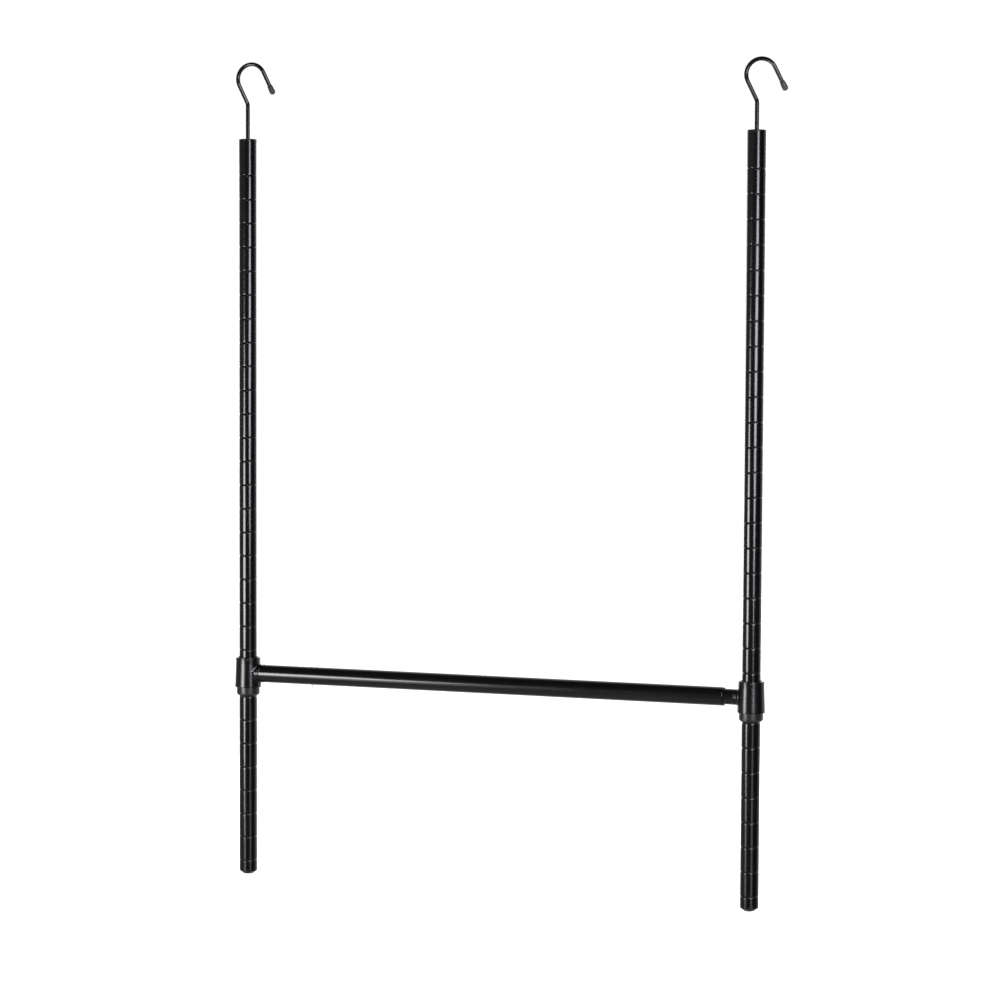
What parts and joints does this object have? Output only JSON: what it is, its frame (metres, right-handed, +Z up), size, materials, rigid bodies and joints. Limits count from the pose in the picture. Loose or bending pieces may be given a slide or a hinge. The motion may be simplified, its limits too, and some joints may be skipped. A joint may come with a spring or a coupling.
{
  "type": "adjustable hanging closet rod",
  "caption": "Hanging closet rod: two grooved tube posts with swivel wire hooks at the top carry a telescoping garment bar on tapered collars that wedge on split plastic sleeves.",
  "frame": {"origin": "inside of the left hook's crown, where the closet rail carries it", "axes": "+Z up along the posts, +X along the garment bar from the left post to the right one, -Y to the front"},
  "size_m": [0.6059, 0.0282, 0.8719],
  "materials": {
    "powder_coat": "gloss black powder coat",
    "coated_wire": "semi-gloss black coated wire",
    "black_plastic": "satin moulded",
    "sleeve_plastic": "satin moulded",
    "vinyl_dip": "soft vinyl dip",
    "nickel": "bright nickel plate",
    "spring_steel": "rolled strip",
    "zinc_steel": "zinc plate"
  },
  "bodies": {
    "left_post": {"left_post": "powder_coat", "left_top_plug": "black_plastic", "left_foot_cap": "black_plastic", "left_sleeve_front": "sleeve_plastic", "left_sleeve_back": "sleeve_plastic"},
    "left_washer": {"left_hook_washer": "zinc_steel"},
    "left_hook": {"left_hook": "coated_wire", "left_hook_tip": "vinyl_dip"},
    "bar_left": {"bar_outer_tube": "powder_coat", "bar_end_bush": "black_plastic", "left_collar": "powder_coat", "left_weld_bead": "powder_coat"},
    "bar_right": {"bar_inner_tube": "powder_coat", "bar_inner_glide": "black_plastic", "right_collar": "powder_coat", "right_weld_bead": "powder_coat", "snap_spring": "spring_steel"},
    "snap_button": {"snap_button": "nickel"},
    "right_post": {"right_post": "powder_coat", "right_top_plug": "black_plastic", "right_foot_cap": "black_plastic", "right_sleeve_front": "sleeve_plastic", "right_sleeve_back": "sleeve_plastic"},
    "right_washer": {"right_hook_washer": "zinc_steel"},
    "right_hook": {"right_hook": "coated_wire", "right_hook_tip": "vinyl_dip"}
  },
  "joints": [
    {"name": "left_hook_slide", "type": "slide", "parent": "left_post", "child": "left_washer", "axis": [0, 0, 1], "range_m": [-0.012, 0]},
    {"name": "left_hook_turn", "type": "hinge", "parent": "left_washer", "child": "left_hook", "pos_m": [-0.0042, 0, -0.077], "axis": [0, 0, 1], "continuous": true},
    {"name": "bar_height", "type": "slide", "parent": "left_post", "child": "bar_left", "axis": [0, 0, 1], "range_m": [0, 0.508]},
    {"name": "bar_length", "type": "slide", "parent": "bar_left", "child": "bar_right", "axis": [1, 0, 0], "range_m": [0, 0.3048]},
    {"name": "button_press", "type": "slide", "parent": "bar_right", "child": "snap_button", "axis": [0, 0, 1], "range_m": [0, 0.0057], "stiffness_N_per_m": 900, "springref_m": -0.003, "deforming": ["snap_spring"]},
    {"name": "right_post_slip", "type": "slide", "parent": "bar_right", "child": "right_post", "axis": [0, 0, -1], "range_m": [0, 0.508]},
    {"name": "right_hook_slide", "type": "slide", "parent": "right_post", "child": "right_washer", "axis": [0, 0, 1], "range_m": [-0.0036, 0.0084]},
    {"name": "right_hook_turn", "type": "hinge", "parent": "right_washer", "child": "right_hook", "pos_m": [0.5558, 0, -0.077], "axis": [0, 0, 1], "continuous": true}
  ],
  "couplings": [
    {"joint": "right_post_slip", "follows": "bar_height", "ratio": 1}
  ]
}
